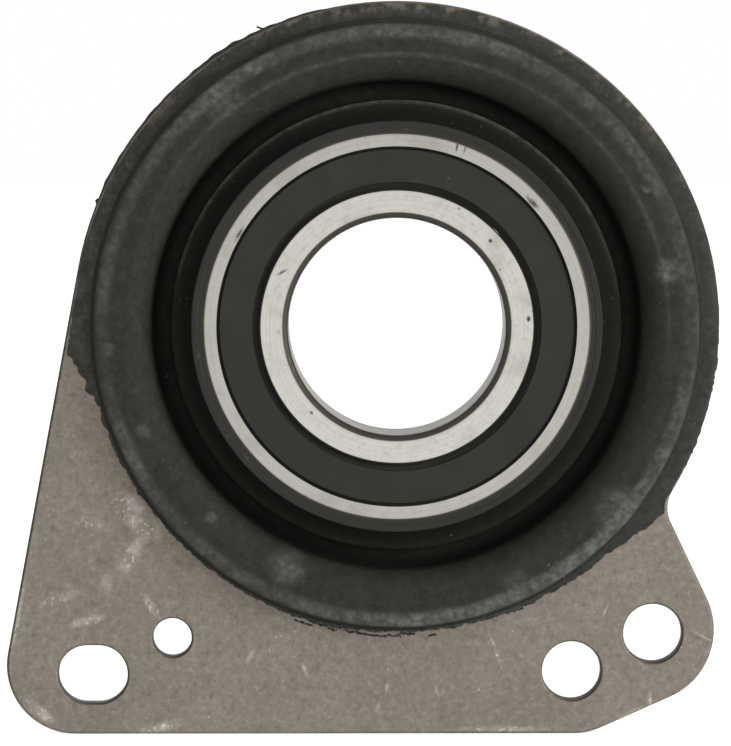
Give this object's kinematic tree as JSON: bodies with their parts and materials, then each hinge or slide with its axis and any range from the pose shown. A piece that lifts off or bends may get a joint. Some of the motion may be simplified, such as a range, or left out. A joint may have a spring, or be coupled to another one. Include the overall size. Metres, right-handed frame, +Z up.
{
  "type": "driveshaft centre bearing",
  "caption": "Flat steel bracket plate with a bonded rubber isolator that carries a sealed ball bearing for a driveshaft.",
  "frame": {"origin": "middle of the shaft bore, half way through the bearing", "axes": "+Y along the shaft towards the rear, +Z up from the foot towards the round end, +X to the right seen from the front"},
  "size_m": [0.0994, 0.013, 0.1023],
  "materials": {
    "plate_steel": "bare stamped steel, dull and scratched",
    "isolator_rubber": "matt moulded rubber with dusty scuffs",
    "sleeve_coating": "dark bonding coat on steel",
    "ring_steel": "ground bearing steel",
    "seal_rubber": "smooth moulded rubber",
    "cage_steel": "pressed sheet steel",
    "ball_steel": "polished bearing steel"
  },
  "bodies": {
    "housing": {"mounting_plate": "plate_steel", "rubber_isolator": "isolator_rubber", "bearing_sleeve": "sleeve_coating", "outer_ring": "ring_steel", "front_seal": "seal_rubber", "rear_seal": "seal_rubber"},
    "inner_race": {"inner_ring": "ring_steel"},
    "cage": {"cage_front": "cage_steel", "cage_rear": "cage_steel", "cage_rivets": "cage_steel"},
    "ball_01": {"ball_01": "ball_steel"},
    "ball_02": {"ball_02": "ball_steel"},
    "ball_03": {"ball_03": "ball_steel"},
    "ball_04": {"ball_04": "ball_steel"},
    "ball_05": {"ball_05": "ball_steel"},
    "ball_06": {"ball_06": "ball_steel"},
    "ball_07": {"ball_07": "ball_steel"},
    "ball_08": {"ball_08": "ball_steel"},
    "ball_09": {"ball_09": "ball_steel"},
    "ball_10": {"ball_10": "ball_steel"},
    "ball_11": {"ball_11": "ball_steel"}
  },
  "joints": [
    {"name": "inner_ring_spin", "type": "hinge", "parent": "housing", "child": "inner_race", "pos_m": [0, 0, 0], "axis": [0, 1, 0], "continuous": true},
    {"name": "cage_spin", "type": "hinge", "parent": "housing", "child": "cage", "pos_m": [0, 0, 0], "axis": [0, 1, 0], "continuous": true},
    {"name": "ball_01_spin", "type": "hinge", "parent": "cage", "child": "ball_01", "pos_m": [0.02125, 0, 0], "axis": [0, 1, 0], "continuous": true},
    {"name": "ball_02_spin", "type": "hinge", "parent": "cage", "child": "ball_02", "pos_m": [0.01788, 0, 0.01149], "axis": [0, 1, 0], "continuous": true},
    {"name": "ball_03_spin", "type": "hinge", "parent": "cage", "child": "ball_03", "pos_m": [0.00883, 0, 0.01933], "axis": [0, 1, 0], "continuous": true},
    {"name": "ball_04_spin", "type": "hinge", "parent": "cage", "child": "ball_04", "pos_m": [-0.00302, 0, 0.02103], "axis": [0, 1, 0], "continuous": true},
    {"name": "ball_05_spin", "type": "hinge", "parent": "cage", "child": "ball_05", "pos_m": [-0.01392, 0, 0.01606], "axis": [0, 1, 0], "continuous": true},
    {"name": "ball_06_spin", "type": "hinge", "parent": "cage", "child": "ball_06", "pos_m": [-0.02039, 0, 0.00599], "axis": [0, 1, 0], "continuous": true},
    {"name": "ball_07_spin", "type": "hinge", "parent": "cage", "child": "ball_07", "pos_m": [-0.02039, 0, -0.00599], "axis": [0, 1, 0], "continuous": true},
    {"name": "ball_08_spin", "type": "hinge", "parent": "cage", "child": "ball_08", "pos_m": [-0.01392, 0, -0.01606], "axis": [0, 1, 0], "continuous": true},
    {"name": "ball_09_spin", "type": "hinge", "parent": "cage", "child": "ball_09", "pos_m": [-0.00302, 0, -0.02103], "axis": [0, 1, 0], "continuous": true},
    {"name": "ball_10_spin", "type": "hinge", "parent": "cage", "child": "ball_10", "pos_m": [0.00883, 0, -0.01933], "axis": [0, 1, 0], "continuous": true},
    {"name": "ball_11_spin", "type": "hinge", "parent": "cage", "child": "ball_11", "pos_m": [0.01788, 0, -0.01149], "axis": [0, 1, 0], "continuous": true}
  ],
  "couplings": [
    {"joint": "cage_spin", "follows": "inner_ring_spin", "ratio": 0.41595},
    {"joint": "ball_01_spin", "follows": "inner_ring_spin", "ratio": -2.8905},
    {"joint": "ball_02_spin", "follows": "inner_ring_spin", "ratio": -2.8905},
    {"joint": "ball_03_spin", "follows": "inner_ring_spin", "ratio": -2.8905},
    {"joint": "ball_04_spin", "follows": "inner_ring_spin", "ratio": -2.8905},
    {"joint": "ball_05_spin", "follows": "inner_ring_spin", "ratio": -2.8905},
    {"joint": "ball_06_spin", "follows": "inner_ring_spin", "ratio": -2.8905},
    {"joint": "ball_07_spin", "follows": "inner_ring_spin", "ratio": -2.8905},
    {"joint": "ball_08_spin", "follows": "inner_ring_spin", "ratio": -2.8905},
    {"joint": "ball_09_spin", "follows": "inner_ring_spin", "ratio": -2.8905},
    {"joint": "ball_10_spin", "follows": "inner_ring_spin", "ratio": -2.8905},
    {"joint": "ball_11_spin", "follows": "inner_ring_spin", "ratio": -2.8905}
  ]
}
